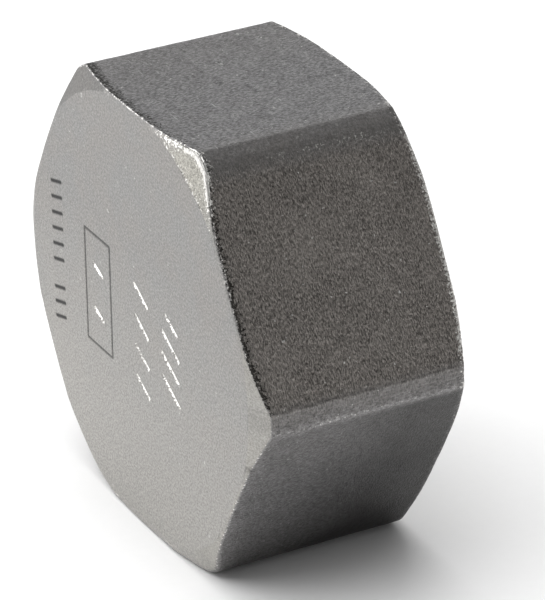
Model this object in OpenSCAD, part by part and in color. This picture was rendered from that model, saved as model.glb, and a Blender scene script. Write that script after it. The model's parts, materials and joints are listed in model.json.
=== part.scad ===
// Hexagonal pipe cap with a blind internal parallel pipe thread (nominal 1 1/2 inch, 11 threads per inch).
// The cap lies on one of its flats: +Z is up, the thread axis is Y and the mouth opens towards +Y.
// The origin is the centre of the open face, on the thread axis.

/* [Hexagon] */
// Distance across the wrench flats
across_flats = 55; // [53:0.5:60]
// Diameter of the blunt corners, a little under the sharp hexagon's
corner_d = 62.1; // [61:0.1:64]
// Overall length along the thread axis
cap_length = 27.8; // [26:0.2:40]

/* [Turned ends] */
// Diameter of the closed face, where its corner chamfer starts
closed_face_d = 55.6; // [52:0.1:60]
// Angle between the closed face and its chamfer
closed_chamfer_angle = 22.8; // [15:0.1:30]
// Diameter of the open face, where its corner chamfer starts
open_face_d = 56; // [52:0.1:60]
// Angle between the open face and its chamfer
open_chamfer_angle = 22.2; // [15:0.1:30]

/* [Thread] */
// Major diameter, at the roots of the internal thread
thread_major_d = 47.8; // [46:0.1:49]
// Threads per inch
threads_per_inch = 11; // [8:1:14]
// Number of full turns
thread_turns = 8; // [4:1:8]
// Included angle of the thread form
thread_angle = 55; // [50:1:60]

/* [Socket] */
// Width of the 45 degree lead-in at the mouth, measured beyond the thread roots
lead_in = 0.5; // [0.2:0.1:1]
// Diameter of the relief groove behind the last turn
relief_d = 48.6; // [48:0.1:50]
// Depth of the socket from the open face
socket_depth = 22.4; // [22:0.1:24]
// Width of the chamfer between the relief groove and the socket's floor
floor_chamfer = 0.8; // [0.2:0.1:1.5]

/* [Hidden] */
$fn = 180;
inch = 25.4;
margin = 1;                                   // how far a cutter runs past what it cuts
pitch = inch / threads_per_inch;
thread_flank = tan(thread_angle / 2);         // axial run of a flank for each mm of depth
sharp_height = pitch / (2 * thread_flank);    // height of the thread form before it is truncated
thread_depth = sharp_height * 2 / 3;          // a sixth of the height is cut off the crest and the root
thread_flat = sharp_height / 3 * thread_flank;
flank_run = thread_depth * thread_flank;
major_r = thread_major_d / 2;
minor_r = major_r - thread_depth;
relief_r = relief_d / 2;
lead_in_r = major_r + lead_in;
thread_start = lead_in_r - minor_r;           // depth at which the lead-in reaches the crests
thread_end = thread_start + thread_turns * pitch;
closed_face_r = closed_face_d / 2;
open_face_r = open_face_d / 2;
corner_r = corner_d / 2;
closed_chamfer_h = (corner_r - closed_face_r) * tan(closed_chamfer_angle);
open_chamfer_h = (corner_r - open_face_r) * tan(open_chamfer_angle);

// The outline that the lathe leaves: both faces, their chamfers and the corner diameter.
// Points are [radius, height], with the open face at height 0 and the closed face below it.
function turned_outline() = [
    [0, -cap_length],
    [closed_face_r, -cap_length],
    [corner_r, closed_chamfer_h - cap_length],
    [corner_r, -open_chamfer_h],
    [open_face_r, 0],
    [0, 0]
];

// One groove of the thread, cut outwards from the crests at a given depth.
function thread_groove(depth) = [
    [minor_r, -depth - thread_flat / 2],
    [major_r, -depth - thread_flat / 2 - flank_run],
    [major_r, -depth - thread_flat * 3 / 2 - flank_run],
    [minor_r, -depth - pitch + thread_flat / 2]
];

// The socket's outline: lead-in, crests and grooves, relief groove and flat floor.
function socket_outline() = concat(
    [
        [0, margin],
        [lead_in_r + margin, margin],
        [minor_r, -thread_start]
    ],
    [for (turn = [0 : thread_turns - 1]) each thread_groove(thread_start + turn * pitch)],
    [
        [minor_r, -thread_end],
        [relief_r, -thread_end - (relief_r - minor_r) * thread_flank],
        [relief_r, floor_chamfer - socket_depth],
        [relief_r - floor_chamfer, -socket_depth],
        [0, -socket_depth]
    ]
);

// Hexagonal bar with two of its flats facing up and down once the axis is laid along Y.
module hexagon_bar() {
    translate([0, 0, -cap_length])
        cylinder(d = across_flats / cos(30), h = cap_length, $fn = 6);
}

module socket() {
    rotate_extrude()
        polygon(socket_outline());
}

// The forging, turned at both ends, with its threaded socket.
module cap_body() {
    color("#8f8b86")
        rotate([-90, 0, 0])
            difference() {
                intersection() {
                    hexagon_bar();
                    rotate_extrude()
                        polygon(turned_outline());
                }
                socket();
            }
}

cap_body();
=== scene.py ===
import json
import math

import bmesh
import bpy
import numpy as np
from mathutils import Matrix, Vector, geometry, noise


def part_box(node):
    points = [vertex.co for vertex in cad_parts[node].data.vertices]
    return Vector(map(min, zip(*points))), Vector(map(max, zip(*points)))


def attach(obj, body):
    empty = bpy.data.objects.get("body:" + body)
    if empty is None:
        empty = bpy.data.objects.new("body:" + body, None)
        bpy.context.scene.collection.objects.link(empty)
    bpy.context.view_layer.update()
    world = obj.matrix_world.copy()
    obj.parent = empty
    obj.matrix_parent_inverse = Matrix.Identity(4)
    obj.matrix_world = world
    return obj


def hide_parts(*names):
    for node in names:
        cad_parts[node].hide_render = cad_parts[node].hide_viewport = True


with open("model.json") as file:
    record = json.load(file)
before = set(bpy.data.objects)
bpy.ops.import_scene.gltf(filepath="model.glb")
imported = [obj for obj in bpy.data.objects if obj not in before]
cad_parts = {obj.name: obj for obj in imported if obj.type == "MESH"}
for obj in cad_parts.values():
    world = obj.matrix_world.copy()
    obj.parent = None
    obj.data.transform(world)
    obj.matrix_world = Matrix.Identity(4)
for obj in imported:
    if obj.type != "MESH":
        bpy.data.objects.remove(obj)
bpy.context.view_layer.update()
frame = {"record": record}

# ---------------------------------------------------------------- sizes, in millimetres
# Azimuths are measured about the thread axis, from +X towards +Z, in degrees. The hexagon's corners
# lie at multiples of 60 degrees and its flats halfway between them: 90 is the top flat, 30 the
# pebbled flat at the right of the view, and 330 the flat below that.
MM = 0.001
LOW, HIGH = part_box("cap_body")  # the only ones in metres
APOTHEM = (HIGH.z - LOW.z) / 2 / MM
LENGTH = (HIGH.y - LOW.y) / MM
CORNER_R = HIGH.x / MM
THREAD = next(m for m in frame["record"]["mounts"] if m["name"] == "pipe_thread")
CREST_R = THREAD["dims"]["r_mm"]
THREAD_LENGTH = THREAD["dims"]["length_mm"]
THREAD_MID = -THREAD["pos_m"][1] / MM

# The socket. Its depths are measured from the open face.
INCH = 25.4
THREADS_PER_INCH = 11
THREAD_ANGLE = 55
PITCH = INCH / THREADS_PER_INCH
FLANK = math.tan(math.radians(THREAD_ANGLE / 2))    # axial run of a flank for each mm of its height
SHARP_HEIGHT = PITCH / (2 * FLANK)      # height of the thread form, of which each end loses a sixth
ROOT_R = CREST_R + SHARP_HEIGHT * 2 / 3
THREAD_START = THREAD_MID - THREAD_LENGTH / 2
THREAD_END = THREAD_MID + THREAD_LENGTH / 2
LEAD_IN_R = CREST_R + THREAD_START
RELIEF_R = 24.3
RELIEF_START = THREAD_END + (RELIEF_R - CREST_R) * FLANK
SOCKET_DEPTH = 22.4
FLOOR_CHAMFER = 0.8

# The turned ends and the blunted corners.
CLOSED_CREASE_R = 27.8      # where the closed face meets its corner chamfer, give or take a little
CLOSED_SLOPE = math.radians(22.8)
OPEN_CREASE_R = 28.0
OPEN_SLOPE = math.radians(22.2)
BAND_R = CORNER_R - 0.05    # distance from the axis to the blunted corner bands
BAND_EDGE = 27.62           # degrees from a flat's normal to the band's edge
FACE_SKIN = 0.05            # the end faces lie this far inside the box, which leaves room for lips
SIDE_SKIN = 0.04            # the same for the cast flats
SIDE_GAP = 0.003            # the least that the sides and the closed face keep inside the box
END_GAP = 0.005             # the least that the chamfers and roundings keep inside its ends

# ---------------------------------------------------------------- small helpers


def smoothstep(low, high, value):
    """0 below one value and 1 above another, with an eased slope between."""
    t = np.clip((value - low) / (high - low), 0, 1)
    return t * t * (3 - 2 * t)


def bell(value, centre, width):
    """1 at a centre, falling to about a third one width away from it."""
    return np.exp(-(((value - centre) / width) ** 2))


def around(azimuth, table):
    """A value that follows (azimuth, value) pairs around the axis."""
    angles = [a for a, _ in table]
    values = [v for _, v in table]
    return np.interp(np.mod(azimuth, 360), angles, values, period=360)


def angle_from(azimuth, centre):
    """Signed difference from a centre azimuth, between -180 and 180."""
    return np.mod(azimuth - centre + 180, 360) - 180


def from_flat(azimuth):
    """Signed angle from the nearest flat's normal, between -30 and 30."""
    return np.mod(azimuth, 60) - 30


def noise_at(points, size, seed):
    """Smooth noise of about -1 to 1, with features of the given size in millimetres."""
    shift = Vector((seed * 17.3, seed * -9.1, seed * 5.7))
    flat = points.reshape(-1, 3) / size
    values = [noise.noise(Vector(p) + shift) for p in flat]
    return np.array(values).reshape(points.shape[:-1])


def ragged_noise(points):
    """Noise in two sizes, for edges that the casting and the tools left uneven."""
    return 0.5 * noise_at(points, size=0.9, seed=3) + 0.5 * noise_at(points, size=2.6, seed=4)


def place(radius, azimuth, y):
    """Points at a radius and azimuth about the thread axis."""
    turn = np.radians(azimuth)
    radius, turn, y = np.broadcast_arrays(radius, turn, y)
    return np.stack([radius * np.cos(turn), y, radius * np.sin(turn)], axis=-1)


# ---------------------------------------------------------------- the hexagon's outline

FLAT_COLUMNS = 24           # columns across half a flat
FLAT_REACH = 26.6           # how far from the flat's normal they go, in degrees
# Where the columns near a corner band lie, in degrees past its edge.
EDGE_COLUMNS = (-0.7, -0.45, -0.25, -0.1, 0, 0.12, 0.28, 0.5, 0.8, 1.2, 1.75)

# How round each edge of the corner bands is, as (azimuth, millimetres): the corner at 60 degrees is
# crisp towards the top flat and soft towards the pebbled flat.
EDGE_ROUNDING = (
    (2, 0.07), (5, 0.1), (30, 0.2), (57, 0.24), (60, 0.1), (63, 0.05), (117, 0.08), (123, 0.12),
    (180, 0.14), (240, 0.2), (300, 0.2), (330, 0.12), (357, 0.06), (359, 0.06),
)
# How deep each flat is sunk below the corner bands beside it, and over how many degrees.
FLAT_SINK = (
    (0, 0.04), (30, 0.07), (60, 0.04), (90, 0.01), (150, 0.02), (210, 0.03), (270, 0.03), (330, 0.01),
)
SINK_RUN = 1.1


def column_azimuths():
    """Columns all round the hexagon, closer together at the edges of the corner bands."""
    flat_part = np.degrees(np.arctan(np.linspace(0, math.tan(math.radians(FLAT_REACH)), FLAT_COLUMNS)))
    edge_part = BAND_EDGE + np.array(EDGE_COLUMNS)
    half = np.concatenate([flat_part, edge_part])
    sector = np.concatenate([-half[:0:-1], half, [30]])
    return np.concatenate([30 + 60 * k + sector for k in range(6)])


def hexagon_radius(azimuth):
    """Distance from the axis to the side at each azimuth, with blunt corners and rounded edges."""
    turn = from_flat(azimuth)
    flat = APOTHEM / np.cos(np.radians(turn))
    band = BAND_R / np.cos(np.radians(30 - np.abs(turn)))
    rounding = around(azimuth, EDGE_ROUNDING)
    radius = -rounding * np.log(np.exp(-flat / rounding) + np.exp(-band / rounding))
    sink = around(azimuth, FLAT_SINK) * smoothstep(0, SINK_RUN, BAND_EDGE - np.abs(turn))
    return radius - sink


def cad_radius(azimuth):
    """The CAD hexagon's own outline, which the casting stays inside."""
    return np.minimum(APOTHEM / np.cos(np.radians(from_flat(azimuth))), CORNER_R)


# ---------------------------------------------------------------- the chamfered ends

# How far the chamfering at the closed end strays from its circle, as (azimuth, millimetres).
CLOSED_STRAY = (
    (0, -0.1), (30, 0.0), (52, -0.15), (60, -0.3), (72, -0.15), (90, 0.0), (120, 0.0), (300, 0.0),
    (345, 0.0),
)
# Radius of the rounding between the sides and the closed end, then the open end.
CLOSED_ROUNDING = (
    (0, 0.5), (4, 0.7), (30, 0.8), (50, 0.75), (57, 0.6), (60, 0.5), (63, 0.4), (68, 0.35), (90, 0.32),
    (112, 0.36), (120, 0.5), (135, 0.4), (150, 0.25), (165, 0.35), (180, 0.5), (195, 0.35), (210, 0.25),
    (225, 0.4), (240, 0.8), (270, 0.4), (296, 1.1), (304, 1.0), (312, 0.6), (330, 0.4), (356, 0.4),
)
OPEN_ROUNDING = (
    (0, 0.4), (30, 0.3), (60, 0.35), (90, 0.2), (110, 0.3), (120, 0.7), (130, 0.5), (150, 0.3),
    (180, 0.5), (210, 0.4), (240, 0.5), (270, 0.4), (300, 0.5), (330, 0.3),
)
# Where the rows lie across a chamfer, and how many rows go round its outer edge and over the side.
CHAMFER_SHARES = (0, 0.05, 0.11, 0.2, 0.4, 0.58, 0.72, 0.82, 0.89, 0.95)
FILLET_ROWS = 7
SIDE_ROWS = 44
CREASE_SOFTNESS = 0.12      # how gradually a chamfer leaves its face, in millimetres
LEAST_CHAMFER = 0.15        # width left for a chamfer where a flat cuts it away


def rounded_end(radius, rounding, crease_limit, slope):
    """One end's profile in each column, from the crease on the face out to the side.

    Returns radii and heights above the end plane, with the unit normals, each (rows, columns).
    """
    beyond = radius - crease_limit
    tilt = slope * smoothstep(-0.1, 0.9, beyond)
    edge_height = math.tan(slope) * CREASE_SOFTNESS * np.logaddexp(0, beyond / CREASE_SOFTNESS)
    turn = math.pi / 2 - tilt
    setback = rounding * np.tan(turn / 2)
    start_r = radius - setback * np.cos(tilt)
    start_h = np.maximum(edge_height - setback * np.sin(tilt), 0)
    crease_r = np.minimum(crease_limit, start_r - LEAST_CHAMFER)
    rows_r, rows_h, normals_r, normals_h = [], [], [], []
    for share in CHAMFER_SHARES:
        rows_r.append(crease_r + (start_r - crease_r) * share)
        rows_h.append(start_h * share)
        lean = tilt if share else 0 * tilt
        normals_r.append(np.sin(lean))
        normals_h.append(-np.cos(lean))
    across, rise = np.cos(tilt), np.sin(tilt)
    for share in np.linspace(0, 1, FILLET_ROWS):
        bend = turn * share
        ahead, aside = np.sin(bend), 1 - np.cos(bend)
        rows_r.append(start_r + rounding * (ahead * across - aside * rise))
        rows_h.append(start_h + rounding * (ahead * rise + aside * across))
        normals_r.append(np.sin(tilt + bend))
        normals_h.append(-np.cos(tilt + bend))
    return [np.array(rows) for rows in (rows_r, rows_h, normals_r, normals_h)]


# ---------------------------------------------------------------- marks on the closed face
# Generic marks only: straight strokes and one plain rectangle. Places are (x, z) on the face, with x
# to the right and z up when the closed end is looked at.
PUNCH_HALF = 0.3            # half the width of each kind of mark, then its depth
PUNCH_DEPTH = 0.26
SCRIBE_HALF = 0.24
SCRIBE_DEPTH = 0.13
ETCH_HALF = 0.25
ETCH_DEPTH = 0.05
LIP_HEIGHT = 0.035          # the metal pushed up beside a punched mark


def rectangle(centre, half_width, half_height):
    """The four strokes of an upright rectangle."""
    x, z = centre
    signs = ((-1, -1), (1, -1), (1, 1), (-1, 1))
    corners = [(x + i * half_width, z + j * half_height) for i, j in signs]
    return list(zip(corners, corners[1:] + corners[:1]))


def slanted(x, z, half_run, half_rise):
    """One straight stroke with its middle at a place."""
    return ((x - half_run, z - half_rise), (x + half_run, z + half_rise))


SCRIBED = rectangle((-10.2, -0.6), 3.3, 7.4)
PUNCHED = (
    [slanted(-10.2, z, 1.1, -0.5) for z in (-3.6, 2.4)]
    + [slanted(1.2, z, 1.5, -0.9) for z in (-8.2, -4.2, -0.2, 3.9)]
    + [slanted(8.6, z, 2.0, -1.2) for z in (-5.4, -2.4, 0.6)]
    + [slanted(8.9, 3.4, 1.4, -0.8)]
)
ETCHED = [slanted(-21.0, z, 1.3, 0.35) for z in (-8.6, -6.6, -4.6, -0.8, 1.3, 3.4, 5.5, 7.6, 9.7)]


def distance_to(points, stroke):
    """Distance in the face's plane from each (x, z) point to a stroke."""
    start, end = np.array(stroke[0]), np.array(stroke[1])
    run = end - start
    share = np.clip((points - start) @ run / float(run @ run), 0, 1)
    nearest = start + share[:, None] * run
    return np.hypot(*(points - nearest).T)


def nearest_mark(points, strokes):
    """Distance from each (x, z) point to the nearest of some strokes."""
    return np.min([distance_to(points, s) for s in strokes], axis=0)


def mark_height(points):
    """How far the marks raise or sink the face at (x, z) points."""
    punched = nearest_mark(points, PUNCHED)
    scribed = nearest_mark(points, SCRIBED)
    etched = nearest_mark(points, ETCHED)
    groove = -PUNCH_DEPTH * np.clip(1 - punched / PUNCH_HALF, 0, 1)
    line = -SCRIBE_DEPTH * np.clip(1 - scribed / SCRIBE_HALF, 0, 1)
    punch_lip = LIP_HEIGHT * bell(punched, PUNCH_HALF + 0.1, 0.12)
    scribe_lip = 0.5 * LIP_HEIGHT * bell(scribed, SCRIBE_HALF + 0.08, 0.1)
    shallow = -ETCH_DEPTH * np.clip(1.6 - 1.6 * etched / ETCH_HALF, 0, 1)
    return groove + line + (punch_lip + scribe_lip) + shallow


def face_height(points):
    """Height of the closed face over its end plane at (x, z) points: skin, slight waves, marks."""
    spread = np.stack([points[:, 0], np.zeros(len(points)), points[:, 1]], axis=-1)
    waves = 0.014 * noise_at(spread, size=7.0, seed=1) + 0.006 * noise_at(spread, size=1.6, seed=2)
    return np.minimum(-FACE_SKIN + waves + mark_height(points), -SIDE_GAP)


# ---------------------------------------------------------------- the mesh


class Shell:
    """Collects points and faces, with the surface fields that the material reads at each point."""

    # Machined, pebbled, inked, bare metal and painted highlights, inside the socket, brown scale,
    # painted shade, coarse with torn grain, and black scale and painted shade in patches: each from 0,
    # where there is none, to about 1. The machined field also paints light onto the corner band at 60,
    # and the inked one paints shade into the scribed groove.
    FIELDS = ("turned", "pebble", "etched", "bare", "socket", "shade", "soot", "torn", "crust")
    WELD = 0.002            # points closer than this are one

    def __init__(self):
        self.points, self.faces, self.count = [], [], 0
        self.fields = {name: [] for name in self.FIELDS}

    def add(self, points, **fields):
        """Adds a grid of points and returns the same grid of their numbers."""
        flat = points.reshape(-1, 3)
        first = self.count
        self.points.append(flat)
        self.count += len(flat)
        for name in self.FIELDS:
            value = np.broadcast_to(fields.get(name, 0.0), points.shape[:-1])
            self.fields[name].append(np.asarray(value, float).reshape(-1))
        return np.arange(first, self.count).reshape(points.shape[:-1])

    def join_rows(self, index, closed=True):
        """Quads between neighbouring rows of an index grid. Closed rows go all the way round."""
        ahead = np.roll(index, -1, axis=1) if closed else index[:, 1:]
        here = index if closed else index[:, :-1]
        quads = np.stack([here[:-1], here[1:], ahead[1:], ahead[:-1]], axis=-1)
        self.faces += quads.reshape(-1, 4).tolist()

    def build(self, name):
        """The mesh, in metres, with its seams welded and its normals outwards."""
        mesh = bpy.data.meshes.new(name)
        mesh.from_pydata((np.concatenate(self.points) * MM).tolist(), [], self.faces)
        for field, values in self.fields.items():
            layer = mesh.attributes.new(field, "FLOAT", "POINT")
            layer.data.foreach_set("value", np.concatenate(values).astype(np.float32))
        work = bmesh.new()
        work.from_mesh(mesh)
        bmesh.ops.remove_doubles(work, verts=work.verts, dist=self.WELD * MM)
        bmesh.ops.recalc_face_normals(work, faces=work.faces)
        work.to_mesh(mesh)
        work.free()
        mesh.polygons.foreach_set("use_smooth", np.ones(len(mesh.polygons), bool))
        mesh.update()
        return mesh


# ---------------------------------------------------------------- the outside
# Each table below says how strong a feature is round the axis, as (azimuth, strength).

# The pebbles that blasting left, and the brown scale that stayed on.
PEBBLES = (
    (2, 1.2), (5, 1.0), (30, 1.0), (62, 0.7), (64, 0.5), (90, 0.5), (150, 0.8), (210, 0.9), (270, 0.7),
    (300, 0.5), (330, 0.48), (356, 0.45), (358, 1.2),
)
BROWN_SCALE = (
    (2, 0.5), (4, 1.0), (30, 1.0), (54, 1.0), (57, 0.55), (61, 0.3), (66, 0.0), (90, 0.0), (150, 0.4),
    (210, 0.6), (270, 0.4), (330, 0.1), (358, 0.2),
)
# The corner at 60 degrees, closed end: the patch that the tool tore, and the ridge it pushed up.
TORN_CORNER = ((40, 0.0), (46, 0.3), (54, 0.85), (60, 1.0), (66, 0.85), (71, 0.4), (76, 0.0))
RIDGE_CORNER = ((48, 0.0), (52, 0.4), (56, 1.0), (62, 1.0), (66, 0.4), (72, 0.35), (77, 0.0))
# Black scale and painted shade in the rolled edge of the pebbled flat and in the top flat's front edge.
ROLLED_EDGE = (
    (2, 0.0), (4, 1.1), (18, 1.15), (30, 0.95), (50, 0.95), (57, 0.75), (61, 0.4), (65, 0.0),
)
TOP_EDGE = ((64, 0.0), (70, 0.5), (100, 0.8), (118, 1.0), (121, 0.6), (123, 0.0))
# Painted shade on the corner band at 0, on the flat at 330, and on the chamfer at 120.
DARK_BAND = ((0, 0.34), (1.8, 0.34), (2.6, 0.0), (356.5, 0.0), (358, 0.34))
DARK_FLAT = (
    (298, 0.0), (301, 1.9), (304, 1.55), (308, 1.15), (315, 1.02), (324, 1.06), (332, 1.08), (345, 1.0),
    (356, 1.0), (357.5, 0.0),
)
DARK_CHAMFER = ((98, 0.0), (106, 0.36), (134, 0.36), (142, 0.0))
# How the painted shade on that flat deepens along its length, as (depth from the closed face, strength).
FLAT_DEEPENING = ((0, 0.12), (3, 0.29), (9, 0.33), (13, 0.48), (20, 0.74), (26, 0.76))
# The torn flash round the rim of the open end.
TORN_RIM = (
    (0, 0.25), (3, 0.4), (8, 1.0), (54, 1.0), (59, 0.35), (70, 0.2), (120, 0.3), (300, 0.2), (350, 0.25),
)
# Coarse grain on the chamfers, and painted light on the corner band at 60 from the turned faces' colour.
EDGE_GRAIN = ((0, 0.3), (14, 0.3), (24, 0.0), (296, 0.0), (305, 0.4), (345, 0.4))
PAINTED_LIGHT_BAND = ((54, 0.0), (57, 0.3), (62, 0.25), (62.6, 0.0))
# Bare metal and painted highlight along the front edge.
BRIGHT_EDGE = (
    (0, 0.08), (3, 0.12), (25, 0.2), (40, 0.32), (50, 0.4), (62, 0.42), (110, 0.45), (118, 0.45),
    (124, 0.1), (300, 0.1), (312, 0.22), (345, 0.27), (357, 0.12),
)
NICK_AZIMUTH = 346
NICK_DEPTH = 0.22


class Outside:
    """The smooth outside as a grid: rows from the closed face's rim to the open face's, columns round.

    It also holds what the features are placed by: the depth from the closed face, the distance past
    the closed end's rounding and short of the open end's, and how far inward of the side a point is.
    """

    def __init__(self, azimuth):
        radius = hexagon_radius(azimuth)
        wobble = noise_at(place(radius, azimuth, 0), size=3.0, seed=5)
        closed_rounding = around(azimuth, CLOSED_ROUNDING) * (1 + 0.22 * wobble)
        open_rounding = around(azimuth, OPEN_ROUNDING) * (1 - 0.2 * wobble)
        chatter = 0.06 * noise_at(place(28, azimuth, 0), size=2.0, seed=12)
        self.crease_r = CLOSED_CREASE_R + around(azimuth, CLOSED_STRAY) + chatter
        closed = rounded_end(radius, closed_rounding, self.crease_r, CLOSED_SLOPE)
        opened = rounded_end(radius, open_rounding, OPEN_CREASE_R, OPEN_SLOPE)

        low_y = closed[1][-1] - LENGTH
        high_y = -opened[1][-1]
        share = np.linspace(0, 1, SIDE_ROWS + 2)[1:-1, None]
        side_y = low_y + (high_y - low_y) * share
        side_r = np.broadcast_to(radius, side_y.shape)
        self.r = np.concatenate([closed[0], side_r, opened[0][::-1]])
        self.y = np.concatenate([closed[1] - LENGTH, side_y, -opened[1][::-1]])
        self.normal_r = np.concatenate([closed[2], np.ones_like(side_r), opened[2][::-1]])
        self.normal_y = np.concatenate([closed[3], np.zeros_like(side_r), -opened[3][::-1]])

        self.azimuth = np.broadcast_to(azimuth, self.r.shape)
        self.at = place(self.r, self.azimuth, self.y)
        self.side = np.abs(self.normal_r)
        self.closed_half = self.normal_y < 0
        self.depth = self.y + LENGTH
        self.past_edge = self.y - low_y
        self.short_of_rim = high_y - self.y
        self.inward = radius - self.r

    def follow(self, table):
        """A table's value at every point of the grid."""
        return around(self.azimuth, table)

    def sloping(self, rise, fall):
        """1 where the closed end leans outwards more than the rise's range and less than the fall's."""
        up = smoothstep(*rise, self.normal_r)
        return up * (1 - smoothstep(*fall, self.normal_r)) * self.closed_half


def corner_reach(grid, table):
    """A table's strength, fading out behind the closed end."""
    return grid.follow(table) * (1 - smoothstep(2.5, 6.0, grid.depth))


def torn_corner(grid):
    """The patch at the upper front corner that the chamfering tool tore instead of cutting."""
    reach = corner_reach(grid, TORN_CORNER)
    return reach * smoothstep(0.1, 0.35, grid.normal_r) * (1 - smoothstep(0.5, 0.7, grid.normal_r))


def corner_ridge(grid):
    """The ridge of metal that the tool pushed up outside that patch."""
    return bell(grid.inward, 0.5, 0.34) * grid.closed_half * corner_reach(grid, RIDGE_CORNER)


def tool_edge(grid):
    """The ragged line between the closed face and that patch."""
    line = corner_reach(grid, TORN_CORNER) * bell(grid.r - grid.crease_r, 0.15, 0.2)
    return line * smoothstep(-0.4, 0.1, noise_at(grid.at, size=0.8, seed=16))


def band_flash(grid):
    """The rough flash along the lower edge of the corner band at 0 degrees."""
    return bell(angle_from(grid.azimuth, BAND_EDGE - 30), 0.2, 0.7) * grid.side


def band_crease(grid):
    """The painted shade in the crease along that band's upper edge."""
    wander = 0.5 * ragged_noise(grid.at)
    return bell(angle_from(grid.azimuth, 30 - BAND_EDGE) + wander, 0.3, 0.4) * grid.side


def edge_nick(grid):
    """A small nick in the front edge of the flat at 330 degrees."""
    return bell(angle_from(grid.azimuth, NICK_AZIMUTH), 0, 0.8) * bell(grid.past_edge, -0.2, 0.45)


def torn_rim(grid):
    """The torn flash round the open end, which the turning left."""
    on_rim = smoothstep(0.4, 0.7, grid.normal_r) * (1 - smoothstep(0.0, 0.5, grid.short_of_rim))
    return grid.follow(TORN_RIM) * on_rim


def surface_push(grid, ridge, torn, flash, rim, nick):
    """How far the surface stands out from the smooth outside, along its normal."""
    on_band = smoothstep(-0.5, 0.1, np.abs(from_flat(grid.azimuth)) - BAND_EDGE)
    skin = -SIDE_SKIN * grid.side - FACE_SKIN * (1 - grid.side)
    slow = 0.025 * noise_at(grid.at, size=7.0, seed=6)
    waves = grid.side * (slow + 0.014 * noise_at(grid.at, size=2.2, seed=7))
    lumps = (
        bell(grid.side, 0.8, 0.16) * 0.04 * ragged_noise(grid.at)
        + 0.035 * on_band * grid.side * noise_at(grid.at, size=1.3, seed=14)
        + 0.04 * torn * noise_at(grid.at, size=0.5, seed=8)
        + 0.05 * rim * noise_at(grid.at, size=0.8, seed=13)
    )
    raised = ridge * (0.2 + 0.1 * ragged_noise(grid.at * 1.7))
    fin = flash * (0.05 + 0.06 * noise_at(grid.at, size=1.1, seed=9))
    return skin + waves + lumps + raised + fin - NICK_DEPTH * nick


def crust_and_shade_cover(grid, tool_line):
    """Black scale in patches, painting shade into the rolled edge, the top edge and the tool's line."""
    rolled = grid.follow(ROLLED_EDGE) * smoothstep(0.5, 0.75, grid.normal_r)
    top = grid.follow(TOP_EDGE) * smoothstep(0.7, 0.9, grid.normal_r)
    return np.maximum.reduce([
        0.75 * rolled * (1 - smoothstep(-0.65, 0.4, grid.past_edge)),
        0.75 * top * bell(grid.past_edge, 0.15, 0.6),
        0.3 * tool_line,
    ])


def painted_shade_cover(grid, flash, nick):
    """How far painted shade darkens the surface, from 0 to 1."""
    ragged = grid.past_edge + 0.25 * ragged_noise(grid.at * 1.5)
    rolled = grid.follow(ROLLED_EDGE) * smoothstep(0.6, 0.8, grid.normal_r)
    top = grid.follow(TOP_EDGE) * smoothstep(0.7, 0.9, grid.normal_r)
    deepening = np.interp(grid.depth, *zip(*FLAT_DEEPENING))
    return np.maximum.reduce([
        0.35 * rolled * (1 - smoothstep(-0.5, 0.3, ragged)),
        0.3 * top * bell(ragged, 0.25, 0.5),
        0.4 * band_crease(grid),
        grid.follow(DARK_BAND) * grid.side * (1 - 0.7 * flash),
        0.7 * nick,
        np.minimum(grid.side * grid.follow(DARK_FLAT) * deepening, 0.85),
        grid.follow(DARK_CHAMFER) * grid.sloping((0.2, 0.35), (0.5, 0.7)),
    ])


def bare_metal_and_highlight(grid, ridge, tool_line, flash, rim):
    """Where bare metal and painted highlights show: whole at 1, and in patches below that."""
    front_edge = grid.follow(BRIGHT_EDGE) * bell(grid.normal_r, 0.65, 0.24) * grid.closed_half
    off_chamfer = 1 - 0.8 * grid.sloping((0.2, 0.35), (0.5, 0.7))
    crest = flash * smoothstep(0.6, 0.9, grid.side) * (0.45 + 0.55 * bell(grid.depth, 9.5, 5.0))
    chips = bell(angle_from(grid.azimuth, 30 + BAND_EDGE), -0.3, 0.9)
    chips = chips * smoothstep(-0.2, 0.6, ragged_noise(grid.at * 0.4))
    bare = (
        front_edge * off_chamfer
        + 1.3 * ridge * smoothstep(-0.9, -0.2, ragged_noise(grid.at * 1.7))
        + 0.08 * crest
        + 0.7 * rim * (1 + 0.4 * ragged_noise(grid.at))
        + 0.14 * chips * grid.side
        + 0.38 * tool_line
    )
    return np.clip(bare, 0, 1)


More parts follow.
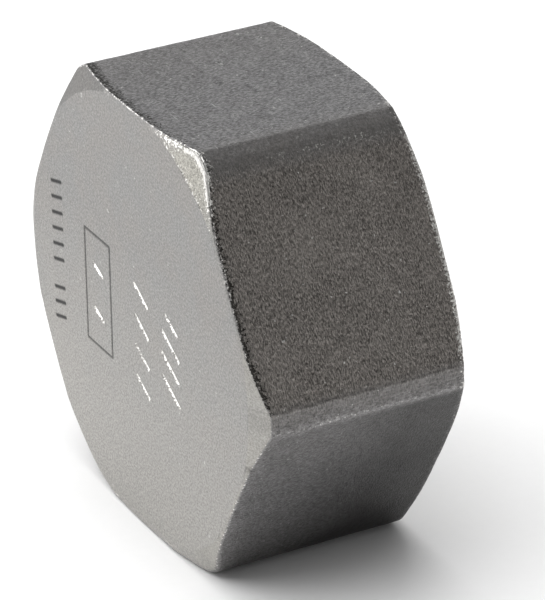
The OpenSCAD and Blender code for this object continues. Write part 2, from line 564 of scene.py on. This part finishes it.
def add_outside(shell, azimuth):
    """The chamfers and roundings of both ends and the six flats. Returns both rims' radii and y."""
    grid = Outside(azimuth)
    torn, ridge, tool_line = torn_corner(grid), corner_ridge(grid), tool_edge(grid)
    flash, nick, rim = band_flash(grid), edge_nick(grid), torn_rim(grid)

    push = surface_push(grid, ridge, torn, flash, rim, nick)
    rows_r = np.minimum(grid.r + push * grid.normal_r, cad_radius(grid.azimuth) - SIDE_GAP)
    rows_y = np.clip(grid.y + push * grid.normal_y, END_GAP - LENGTH, -END_GAP)

    near_band = 1 - smoothstep(0.0, 1.2, BAND_EDGE - np.abs(from_flat(azimuth)))
    pebble = grid.follow(PEBBLES) * (1 - 0.5 * near_band)
    bare = bare_metal_and_highlight(grid, ridge, tool_line, flash, rim)
    coarse = grid.follow(EDGE_GRAIN) * grid.sloping((0.1, 0.3), (0.6, 0.8))
    index = shell.add(
        place(rows_r, grid.azimuth, rows_y),
        # the corner band at 60 takes some of the turned colour as painted light
        turned=np.maximum(1 - smoothstep(0.45, 0.75, grid.side), grid.follow(PAINTED_LIGHT_BAND)),
        pebble=np.maximum(pebble * smoothstep(0.7, 1.0, grid.side), torn),
        torn=np.maximum(torn * (1 - np.clip(1.3 * ridge, 0, 1)), coarse),
        # bare metal and painted highlights on the edges, the ridge, the flash and the rim
        bare=bare,
        shade=grid.follow(BROWN_SCALE) * smoothstep(0.6, 1.0, grid.side),
        # painted shade on the edges, the crease, the nick, the band at 0, the flat at 330 and a chamfer
        soot=painted_shade_cover(grid, flash, nick) * (1 - bare),
        # black scale in patches that also paints shade into the edges
        crust=crust_and_shade_cover(grid, tool_line) * (1 - bare),
    )
    shell.join_rows(index)
    closed_rim = rows_r[0], rows_y[0]
    open_rim = rows_r[-1], rows_y[-1]
    return closed_rim, open_rim


# ---------------------------------------------------------------- the closed face

FACE_SPACING = 0.75         # between points on the plain face
MARK_CLEARANCE = 1.1        # plain points keep this far from a mark
MARK_RINGS = (0.12, 0.3, 0.6)  # outlines drawn round each mark, beyond its edge
ALONG_SPACING = 0.3         # between points along an outline's straights, then round its ends
ROUND_SPACING = 0.16
RIM_WIDTH = 0.35            # of the strip inside the crease, and of the gap from it to the points
LEAST_SPACING = 0.05        # of the points in one cell of a grid this fine, one is kept


def lattice(spacing, reach):
    """Points of a triangular lattice, out to a reach in x and 0.87 times as far in z."""
    count = int(reach / spacing) + 1
    steps = range(-count, count + 1)
    rise = math.sqrt(3) / 2
    return np.array([(spacing * (i + 0.5 * (j % 2)), spacing * j * rise) for j in steps for i in steps])


def stroke_rings(stroke, half_width):
    """Points on rounded outlines around a stroke, from its middle to clear of its lip."""
    start, end = np.array(stroke[0]), np.array(stroke[1])
    run = end - start
    steps = max(1, round(float(np.hypot(*run)) / ALONG_SPACING))
    heading = math.atan2(run[1], run[0])
    aside = np.array([-math.sin(heading), math.cos(heading)])
    out = []
    for ring in (0.0, 0.5 * half_width, half_width, *(half_width + more for more in MARK_RINGS)):
        for i in range(steps + 1):
            on_line = start + run * i / steps
            out += [on_line + aside * ring, on_line - aside * ring] if ring else [on_line]
        turns = max(0, round(math.pi * ring / ROUND_SPACING))
        for i in range(1, turns):
            swing = heading + math.pi / 2 + math.pi * i / turns
            spoke = np.array([math.cos(swing), math.sin(swing)]) * ring
            out += [start + spoke, end - spoke]
    return out


def face_points(azimuth, ring_r):
    """(x, z) points inside the face's outer ring, finely spaced along the marks."""
    plain = lattice(FACE_SPACING, CORNER_R)
    plain = plain[nearest_mark(plain, PUNCHED + SCRIBED + ETCHED) > MARK_CLEARANCE]
    fine = []
    for strokes, half_width in ((PUNCHED, PUNCH_HALF), (SCRIBED, SCRIBE_HALF), (ETCHED, ETCH_HALF)):
        for stroke in strokes:
            fine += stroke_rings(stroke, half_width)
    points = np.concatenate([plain, np.array(fine)])
    limit = np.interp(np.degrees(np.arctan2(points[:, 1], points[:, 0])), azimuth, ring_r, period=360)
    points = points[np.hypot(*points.T) < limit - RIM_WIDTH]
    cells = np.round(points / LEAST_SPACING).astype(int)
    return points[np.unique(cells, axis=0, return_index=True)[1]]


def add_closed_face(shell, azimuth, rim_r, rim_y):
    """The closed face with its marks, joined to the rim of the chamfers."""
    ring_r = rim_r - RIM_WIDTH
    ring_xz = place(ring_r, azimuth, 0)[:, [0, 2]]
    ring = place(ring_r, azimuth, -LENGTH - face_height(ring_xz))
    shell.join_rows(shell.add(np.stack([ring, place(rim_r, azimuth, rim_y)]), turned=1.0))

    flat = [Vector(p) for p in np.concatenate([ring_xz, face_points(azimuth, ring_r)])]
    edges = [(i, (i + 1) % len(azimuth)) for i in range(len(azimuth))]
    at, _, triangles, *_ = geometry.delaunay_2d_cdt(flat, edges, [], 1, 1e-6)
    xz = np.array([tuple(p) for p in at])
    spread = np.stack([xz[:, 0], -LENGTH - face_height(xz), xz[:, 1]], axis=-1)

    punched = nearest_mark(xz, PUNCHED)
    patchy = smoothstep(-0.35, 0.25, noise_at(spread, size=0.5, seed=15))
    ink = 1 - smoothstep(0.6 * ETCH_HALF, 1.3 * ETCH_HALF, nearest_mark(xz, ETCHED))
    # painted shade in the scribed groove, carried by the etched field
    groove_shade = 0.7 * (1 - smoothstep(0.4 * SCRIBE_HALF, 1.1 * SCRIBE_HALF, nearest_mark(xz, SCRIBED)))
    first = shell.add(
        spread,
        turned=1.0,
        # bare metal and painted highlight in the punched grooves
        bare=(0.35 + 0.65 * patchy) * (1 - smoothstep(0.7 * PUNCH_HALF, 1.1 * PUNCH_HALF, punched)),
        etched=np.maximum(ink, groove_shade),
    )[0]
    shell.faces += [[first + i for i in corners] for corners in triangles]


# ---------------------------------------------------------------- the open face and the socket

MOUTH_EDGE_R = LEAD_IN_R + 0.12  # where the open face starts to turn into the lead-in
MOUTH_DEPTH = 0.18          # depth at which the thread's rows start
FACE_ROWS = 7
TURNING_PITCH = 0.9         # between the open face's tool marks, then their depth
TURNING_DEPTH = 0.012
THREAD_NICKS = 0.012        # how uneven the thread is
FLOOR_PITCH = 3.1           # between the floor's tool marks, then their height and outer radius
FLOOR_MARK = 0.01
FLOOR_MARKED_R = 22.5
FLOOR_RINGS = np.linspace(22, 0.6, 14)  # radii of the floor's rows
# Where the helical rows lie along one pitch: close together where a flank meets a crest or a root.
THREAD_STOPS = np.array([0, 0.06, 0.11, 0.39, 0.44, 0.5, 0.56, 0.61, 0.89, 0.94])


def thread_radius(depth, azimuth):
    """The socket's wall at a depth and azimuth: right-hand thread, lead-in cone and relief groove."""
    phase = np.mod((depth - THREAD_START) / PITCH - azimuth / 360, 1)
    from_root = np.abs(phase - 0.5) * 2             # 0 in a root, 1 on a crest
    flank = np.clip((from_root - 1 / 6) / (2 / 3), 0, 1)
    eased = flank + 0.06 * np.sin(2 * math.pi * flank)
    wall = ROOT_R + (CREST_R - ROOT_R) * eased
    lead_in = LEAD_IN_R - depth
    relief = CREST_R + (depth - THREAD_END) / FLANK
    return np.maximum(np.maximum(wall, lead_in), np.minimum(relief, RELIEF_R))


def add_open_face(shell, azimuth, rim_r, rim_y):
    """The turned ring round the mouth, with faint tool marks."""
    share = np.linspace(0, 1, FACE_ROWS)[:, None]
    face_r = rim_r + (MOUTH_EDGE_R - rim_r) * share
    face_y = np.where(share == 0, rim_y, -FACE_SKIN)
    ripple = TURNING_DEPTH * np.sin(face_r * 2 * math.pi / TURNING_PITCH) * (share > 0) * (share < 1)
    shell.join_rows(shell.add(place(face_r, azimuth, face_y - np.abs(ripple)), turned=1.0))


def add_thread(shell, azimuth):
    """The thread's helical rows: each runs on into the one a pitch deeper where the turn closes."""
    turns = range(-2, int(RELIEF_START / PITCH) + 2)
    steps = np.concatenate([THREAD_STOPS + turn for turn in turns])[:, None]
    round_once = np.append(azimuth, azimuth[0] + 360)
    depth = THREAD_START + PITCH * (steps + round_once / 360)
    depth = np.clip(depth, MOUTH_DEPTH, RELIEF_START)
    radius = thread_radius(depth, round_once)
    crest = 1 - smoothstep(CREST_R, CREST_R + 0.4, radius)
    turn = np.mod(round_once, 360)
    nicks = THREAD_NICKS * noise_at(place(radius, turn, -depth), size=1.4, seed=11)
    inside = (depth > MOUTH_DEPTH) & (depth < RELIEF_START)
    # the crests get a painted highlight through the bare field
    rows = shell.add(place(radius + nicks * inside, turn, -depth), socket=1.0, bare=0.5 * crest)
    shell.join_rows(rows, closed=False)


def add_turned_rows(shell, azimuth, profile, **fields):
    """Rows of one shape all round the axis, from (radius, y) points."""
    radius = np.array([r for r, _ in profile])[:, None] + 0 * azimuth
    y = np.array([y for _, y in profile])[:, None] + 0 * azimuth
    rows = shell.add(place(radius, azimuth, y), **fields)
    shell.join_rows(rows)
    return rows


def add_lead_in(shell, azimuth):
    """The rounded edge between the open face and the thread's first row."""
    profile = [
        (MOUTH_EDGE_R, -FACE_SKIN),
        (LEAD_IN_R + 0.02, -FACE_SKIN - 0.05),
        (LEAD_IN_R - MOUTH_DEPTH, -MOUTH_DEPTH),
    ]
    add_turned_rows(shell, azimuth, profile, socket=0.6)


def floor_mark(radius):
    """Height of the tool marks on the socket's floor."""
    return FLOOR_MARK * math.sin(radius * 2 * math.pi / FLOOR_PITCH) * (radius < FLOOR_MARKED_R)


def add_socket_floor(shell, azimuth):
    """The relief groove, the floor's chamfer and the flat floor with its tool marks."""
    chamfer_start = SOCKET_DEPTH - FLOOR_CHAMFER
    floor_r = RELIEF_R - FLOOR_CHAMFER
    profile = [
        (RELIEF_R, RELIEF_START),
        (RELIEF_R, RELIEF_START + 0.3),
        (RELIEF_R, chamfer_start - 0.1),
        (RELIEF_R - 0.15, chamfer_start + 0.15),
        (floor_r + 0.15, SOCKET_DEPTH - 0.12),
        (floor_r - 0.1, SOCKET_DEPTH),
    ]
    profile += [(r, SOCKET_DEPTH) for r in FLOOR_RINGS]
    profile = [(r, floor_mark(r) - depth) for r, depth in profile]
    last = add_turned_rows(shell, azimuth, profile, socket=0.8)[-1]
    middle = int(shell.add(np.array([[0.0, -SOCKET_DEPTH, 0.0]]), socket=0.8)[0])
    shell.faces += [[int(a), middle, int(b)] for a, b in zip(last, np.roll(last, -1))]


def make_cap(material):
    """The whole cap as one closed piece."""
    azimuth = column_azimuths()
    shell = Shell()
    closed_rim, open_rim = add_outside(shell, azimuth)
    add_closed_face(shell, azimuth, *closed_rim)
    add_open_face(shell, azimuth, *open_rim)
    add_thread(shell, azimuth)
    add_lead_in(shell, azimuth)
    add_socket_floor(shell, azimuth)
    cap = bpy.data.objects.new("cap_casting", shell.build("cap_casting"))
    bpy.context.scene.collection.objects.link(cap)
    cap.data.materials.append(material)
    return cap


# ---------------------------------------------------------------- materials


class Nodes:
    """Short names for the few kinds of shader node that the materials use."""

    def __init__(self, tree):
        self.tree = tree

    def new(self, kind, inputs=(), **settings):
        """A node of a kind, with its settings and then its inputs."""
        node = self.tree.nodes.new(kind)
        for key, value in settings.items():
            setattr(node, key, value)
        for key, value in dict(inputs).items():
            self.feed(node.inputs[key], value)
        return node

    def feed(self, socket, value):
        """Links a socket to another, or sets its value."""
        if isinstance(value, bpy.types.NodeSocket):
            self.tree.links.new(value, socket)
        else:
            socket.default_value = value

    def math(self, operation, *values, clamp=False):
        node = self.new("ShaderNodeMath", operation=operation, use_clamp=clamp)
        for i, value in enumerate(values):
            self.feed(node.inputs[i], value)
        return node.outputs[0]

    def mix(self, share, low, high):
        """A colour between two, by share. A mix node's colours are inputs 6 and 7 and output 2."""
        node = self.new("ShaderNodeMix", data_type="RGBA")
        self.feed(node.inputs["Factor"], share)
        self.feed(node.inputs[6], low)
        self.feed(node.inputs[7], high)
        return node.outputs[2]

    def blend(self, share, low, high):
        """A number between two, by share. A mix node's numbers are inputs 2 and 3 and output 0."""
        node = self.new("ShaderNodeMix", data_type="FLOAT")
        self.feed(node.inputs["Factor"], share)
        self.feed(node.inputs[2], low)
        self.feed(node.inputs[3], high)
        return node.outputs[0]

    def field(self, name):
        """One of the shell's fields."""
        return self.new("ShaderNodeAttribute", attribute_name=name).outputs["Fac"]

    def stretch(self, vector, factors):
        """A position scaled along each axis, which shrinks a texture's features along it."""
        inputs = {0: vector, 1: factors}
        return self.new("ShaderNodeVectorMath", inputs, operation="MULTIPLY").outputs[0]

    def noise(self, vector, scale, detail, rough):
        inputs = {"Vector": vector, "Scale": scale, "Detail": detail, "Roughness": rough}
        return self.new("ShaderNodeTexNoise", inputs).outputs["Fac"]

    def ramp(self, value, low, high):
        """0 to 1 as the value goes from low to high."""
        node = self.new("ShaderNodeMapRange", {"Value": value, "From Min": low, "From Max": high})
        return node.outputs["Result"]

    def patches(self, cover, texture):
        """Breaks a smooth field into patches: none where it is 0, half at about 0.35, whole at 1."""
        over = self.math("MULTIPLY_ADD", cover, 0.35, texture)
        return self.math("MULTIPLY", self.ramp(over, 0.62, 0.68), self.ramp(cover, 0.0, 0.12))

    def finish(self, shader):
        """Sends a shader to the material's surface."""
        out = self.new("ShaderNodeOutputMaterial")
        self.tree.links.new(shader.outputs[0], out.inputs[0])


def new_material(name):
    """An empty material and its nodes."""
    material = bpy.data.materials.new(name)
    material.use_nodes = True
    material.node_tree.nodes.clear()
    return material, Nodes(material.node_tree)


# Colours: of the turned faces, of the plain flats, of the flats with brown scale, then of what lies
# on them or shows through, painted light and shade among them.
FACE_GREY = (0.37, 0.366, 0.357, 1)
FACE_WARM = (0.382, 0.368, 0.352, 1)
FACE_PAINTED_LIGHT = (0.515, 0.5, 0.473, 1)
FACE_PIT = (0.1, 0.1, 0.1, 1)
FACE_SPECK = (0.62, 0.61, 0.59, 1)
PLAIN_DARK = (0.105, 0.103, 0.104, 1)
PLAIN_LIGHT = (0.46, 0.453, 0.457, 1)
PLAIN_PIT = (0.08, 0.08, 0.08, 1)
PLAIN_PALE = (0.48, 0.475, 0.475, 1)
PLAIN_SPECK = (0.5, 0.5, 0.5, 1)
SCRATCH = (0.6, 0.6, 0.6, 1)
SCALE_DARK = (0.1, 0.092, 0.085, 1)
SCALE_LIGHT = (0.438, 0.407, 0.378, 1)
SCALE_PALE = (0.6, 0.56, 0.52, 1)
SCALE_SPECK = (0.47, 0.44, 0.41, 1)
PAINTED_GLINT = (0.7, 0.69, 0.67, 1)
SOCKET = (0.50, 0.49, 0.47, 1)
TORN_DARK = (0.32, 0.31, 0.28, 1)
TORN_LIGHT = (0.66, 0.64, 0.585, 1)
BARE_METAL_AND_HIGHLIGHT = (0.88, 0.865, 0.83, 1)
PAINTED_SHADE = (0.03, 0.029, 0.028, 1)
BLACK_SCALE_AND_SHADE = (0.035, 0.033, 0.03, 1)
INK_AND_GROOVE_SHADE = (0.03, 0.03, 0.032, 1)
BUMP_HEIGHT = 0.13          # of the pebbles and the grain, in millimetres


class SteelTextures:
    """The textures that several layers of the steel share, in millimetres."""

    def __init__(self, make):
        self.mm = make.stretch(make.new("ShaderNodeTexCoord").outputs["Object"], (1000.0, 1000.0, 1000.0))
        self.cloud = make.noise(self.mm, scale=0.16, detail=3.0, rough=0.6)
        self.mottle = make.noise(self.mm, scale=1.1, detail=4.0, rough=0.65)
        self.grain = make.ramp(make.noise(self.mm, scale=3.6, detail=2.0, rough=0.7), 0.35, 0.65)
        self.across = make.stretch(self.mm, (0.68, 2.0, 0.68))
        self.bristle = make.noise(self.across, scale=3.6, detail=3.0, rough=0.7)


def turned_colour(make, steel):
    """The turned faces: even grey with a fine grain and painted light, paler towards the bottom."""
    height = make.new("ShaderNodeSeparateXYZ", {0: steel.mm}).outputs["Z"]
    colour = make.mix(make.ramp(steel.cloud, 0.38, 0.62), FACE_GREY, FACE_WARM)
    # painted light: paler towards the bottom
    colour = make.mix(make.ramp(height, 10, -24), colour, FACE_PAINTED_LIGHT)
    colour = make.mix(steel.grain, colour, make.mix(0.5, colour, FACE_PIT))
    return make.mix(make.ramp(steel.mottle, 0.68, 0.74), colour, FACE_SPECK)


def plain_colour(make, steel, pebble):
    """The flats without brown scale: grained along their length, with specks and a few scratches."""
    along = make.stretch(steel.mm, (1.0, 0.45, 1.0))
    drawn = make.ramp(make.noise(along, scale=4.6, detail=3.0, rough=0.75), 0.375, 0.625)
    drawn = make.blend(make.math("MULTIPLY", pebble, 2.0, clamp=True), 0.5, drawn)
    colour = make.mix(drawn, PLAIN_DARK, PLAIN_LIGHT)
    colour = make.mix(steel.grain, colour, make.mix(0.2, colour, PLAIN_PIT))
    uneven = make.ramp(make.noise(steel.mm, scale=0.5, detail=4.0, rough=0.7), 0.34, 0.66)
    colour = make.mix(uneven, make.mix(0.16, colour, PLAIN_PIT), make.mix(0.16, colour, PLAIN_PALE))
    slant = {"Vector": steel.mm, "Rotation": (0.0, 0.0, 0.9), "Scale": (0.35, 4.0, 1.0)}
    lines = make.new("ShaderNodeMapping", slant).outputs[0]
    scratches = make.ramp(make.noise(lines, scale=0.9, detail=2.0, rough=0.5), 0.72, 0.77)
    colour = make.mix(scratches, colour, SCRATCH)
    return make.mix(make.ramp(steel.mottle, 0.64, 0.73), colour, PLAIN_SPECK)


def scaled_colour(make, steel):
    """The flats with brown scale between their pebbles."""
    colour = make.mix(make.ramp(steel.bristle, 0.38, 0.62), SCALE_DARK, SCALE_LIGHT)
    colour = make.mix(make.ramp(steel.cloud, 0.45, 0.7), colour, make.mix(0.15, colour, SCALE_PALE))
    return make.mix(make.ramp(steel.mottle, 0.64, 0.74), colour, SCALE_SPECK)


def cast_colour(make, steel, pebble):
    """The cast flats, from plain to scaled, with a few grains given a painted glint."""
    colour = make.mix(make.field("shade"), plain_colour(make, steel, pebble), scaled_colour(make, steel))
    # painted glints on single grains
    painted_glint = make.ramp(make.noise(steel.mm, scale=2.1, detail=1.0, rough=0.5), 0.74, 0.785)
    return make.mix(make.math("MULTIPLY", painted_glint, make.ramp(pebble, 0.1, 0.5)), colour, PAINTED_GLINT)


def wear_and_painted_light_colour(make, steel, colour, worn_and_highlit, etched):
    """What wear, scale, the marks and painted light and shade add over the steel's own colour."""
    torn_grain = make.ramp(make.noise(steel.mm, scale=5.5, detail=2.0, rough=0.7), 0.36, 0.64)
    colour = make.mix(make.field("torn"), colour, make.mix(torn_grain, TORN_DARK, TORN_LIGHT))
    colour = make.mix(worn_and_highlit, colour, BARE_METAL_AND_HIGHLIGHT)
    # painted shade over everything below it
    colour = make.mix(make.field("soot"), colour, PAINTED_SHADE)
    # black scale in patches, which is also painted shade along the edges
    black = make.patches(make.field("crust"), make.noise(steel.mm, scale=3.4, detail=3.0, rough=0.65))
    colour = make.mix(black, colour, BLACK_SCALE_AND_SHADE)
    # ink on the etched strokes and painted shade in the scribed groove
    return make.mix(make.math("MULTIPLY", etched, 0.85), colour, INK_AND_GROOVE_SHADE)


def steel_bump(make, steel, pebble):
    """Pebbles from the blasting over a fine grain."""
    cell_inputs = {"Vector": steel.across, "Scale": 3.0, "Smoothness": 0.4}
    cells = make.new("ShaderNodeTexVoronoi", cell_inputs, feature="SMOOTH_F1").outputs["Distance"]
    pebbled = make.math("MULTIPLY_ADD", cells, 0.6, steel.bristle)
    pebbled = make.math("MULTIPLY", pebbled, make.math("MULTIPLY", pebble, 1.5))
    fine = make.math("MULTIPLY", make.noise(steel.mm, scale=4.6, detail=2.0, rough=0.7), 0.3)
    height = make.math("ADD", pebbled, fine)
    bump = {"Strength": 1.0, "Distance": BUMP_HEIGHT * MM, "Height": height}
    return make.new("ShaderNodeBump", bump).outputs["Normal"]


def cast_steel():
    """Blasted cast steel: pebbled flats, turned faces with a fine grain, a cleaner machined socket."""
    material, make = new_material("cast_steel")
    steel = SteelTextures(make)
    turned, pebble = make.field("turned"), make.field("pebble")
    socket, etched = make.field("socket"), make.field("etched")
    # bare metal and painted highlights, in patches
    worn_and_highlit = make.patches(make.field("bare"), make.noise(steel.mm, scale=3.3, detail=2.0, rough=0.6))

    colour = make.mix(turned, cast_colour(make, steel, pebble), turned_colour(make, steel))
    colour = make.mix(socket, colour, SOCKET)
    colour = wear_and_painted_light_colour(make, steel, colour, worn_and_highlit, etched)

    rough = make.blend(turned, 0.46, 0.5)
    rough = make.blend(socket, rough, 0.3)
    rough = make.blend(worn_and_highlit, rough, 0.3)
    rough = make.blend(etched, rough, 0.7)
    make.finish(make.new("ShaderNodeBsdfPrincipled", {
        "Base Color": colour,
        "Metallic": 0.95,
        "Roughness": rough,
        "Normal": steel_bump(make, steel, pebble),
    }))
    return material


def floor_paper():
    """Pale matt paper with a faint tooth."""
    material, make = new_material("floor_paper")
    tooth = make.noise(make.new("ShaderNodeTexCoord").outputs["Object"], scale=900.0, detail=2.0, rough=0.5)
    colour = make.mix(tooth, (0.86, 0.86, 0.86, 1), (0.88, 0.88, 0.88, 1))
    make.finish(make.new("ShaderNodeBsdfPrincipled", {"Base Color": colour, "Roughness": 0.9}))
    return material


# ---------------------------------------------------------------- studio, in metres

FLOOR_HALF = 4.0
# Soft panels in the surroundings: the way to each, how many degrees from that it is still full and
# already gone, and its strength.
PANELS = (
    ((-0.79, 0.42, 0.45), 20, 62, 0.75),    # across from the camera
    ((0.79, 0.42, 0.45), 15, 60, 0.25),     # at the camera's right
    ((-0.60, -0.78, 0.12), 20, 50, 1.1),    # at its left, before the closed face
)
AMBIENT = 0.1


def make_floor():
    """A wide sheet of paper at the height of the flat that the cap lies on."""
    half = FLOOR_HALF
    corners = [(-half, -half, LOW.z), (half, -half, LOW.z), (half, half, LOW.z), (-half, half, LOW.z)]
    mesh = bpy.data.meshes.new("floor")
    mesh.from_pydata(corners, [], [(0, 1, 2, 3)])
    floor = bpy.data.objects.new("floor", mesh)
    bpy.context.scene.collection.objects.link(floor)
    mesh.materials.append(floor_paper())
    return floor


def soft_light(name, toward, distance, size, strength):
    """An area light in a direction from the part, facing it. Strength is its radiance."""
    data = bpy.data.lights.new(name, "AREA")
    data.shape = "RECTANGLE"
    data.size, data.size_y = size
    data.energy = strength * math.pi * size[0] * size[1]
    light = bpy.data.objects.new(name, data)
    bpy.context.scene.collection.objects.link(light)
    way = Vector(toward).normalized()
    light.location = Vector((0, -LENGTH * MM / 2, 0)) + way * distance
    light.rotation_euler = way.to_track_quat("Z", "Y").to_euler()
    light.visible_camera = False
    return light


def light_panel(make, direction, toward, inner, outer, strength):
    """A soft panel in the surroundings: its light in a given direction."""
    inputs = {0: direction, 1: Vector(toward).normalized()}
    cosine = make.new("ShaderNodeVectorMath", inputs, operation="DOT_PRODUCT").outputs["Value"]
    edge = make.new("ShaderNodeMapRange", {
        "Value": cosine,
        "From Min": math.cos(math.radians(outer)),
        "From Max": math.cos(math.radians(inner)),
        "To Max": strength,
    }, interpolation_type="SMOOTHSTEP")
    return edge.outputs["Result"]


def make_surroundings():
    """A dim studio with soft panels."""
    world = bpy.data.worlds.new("studio")
    bpy.context.scene.world = world
    world.use_nodes = True
    world.node_tree.nodes.clear()
    make = Nodes(world.node_tree)
    direction = make.new("ShaderNodeTexCoord").outputs["Generated"]
    total = AMBIENT
    for toward, inner, outer, strength in PANELS:
        total = make.math("ADD", light_panel(make, direction, toward, inner, outer, strength), total)
    light = make.new("ShaderNodeBackground", {"Color": (1, 1, 1, 1), "Strength": total})
    out = make.new("ShaderNodeOutputWorld")
    make.tree.links.new(light.outputs[0], out.inputs[0])


def make_lights(floor):
    """The key light, one from above that lights only the floor, and the surroundings."""
    soft_light("key", (-0.52, -0.70, 0.42), 1.0, (0.66, 0.56), 1.9)
    overhead = soft_light("overhead", (-0.10, -0.18, 0.98), 1.2, (1.5, 1.5), 3.0)
    only_floor = bpy.data.collections.new("lit_from_above")
    only_floor.objects.link(floor)
    overhead.light_linking.receiver_collection = only_floor
    make_surroundings()


# The camera's place: angles in degrees, then distances as shares of the width across flats.
CAMERA_AZIMUTH = 62.02
CAMERA_ELEVATION = 26.89
CAMERA_ROLL = -0.906
CAMERA_DISTANCE = 9.463
AIM_RIGHT = 0.2913
AIM_UP = 0.0466
LENS = 265.1                # millimetres
CLIP_START = 0.01           # metres


def make_camera():
    """The camera at the photograph's angle, aimed beside the closed face's centre."""
    azimuth = math.radians(CAMERA_AZIMUTH)
    elevation = math.radians(CAMERA_ELEVATION)
    roll = math.radians(CAMERA_ROLL)
    level_x, level_y = math.sin(azimuth), -math.cos(azimuth)
    back = Vector((math.cos(elevation) * level_x, math.cos(elevation) * level_y, math.sin(elevation)))
    level = Vector((math.cos(azimuth), math.sin(azimuth), 0))
    upright = back.cross(level)
    right = level * math.cos(roll) + upright * math.sin(roll)
    up = back.cross(right)
    across_flats = HIGH.z - LOW.z
    face_centre = Vector((0, LOW.y, 0))
    aim = face_centre + across_flats * (AIM_RIGHT * right + AIM_UP * up)
    data = bpy.data.cameras.new("camera")
    data.lens = LENS
    data.clip_start = CLIP_START
    camera = bpy.data.objects.new("camera", data)
    bpy.context.scene.collection.objects.link(camera)
    turn = Matrix((right, up, back)).transposed().to_4x4()
    camera.matrix_world = Matrix.Translation(aim + back * CAMERA_DISTANCE * across_flats) @ turn
    bpy.context.scene.camera = camera


make_camera()
cap = make_cap(cast_steel())
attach(cap, "root")
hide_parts("cap_body")
make_lights(make_floor())
bpy.context.scene.view_settings.view_transform = "Standard"
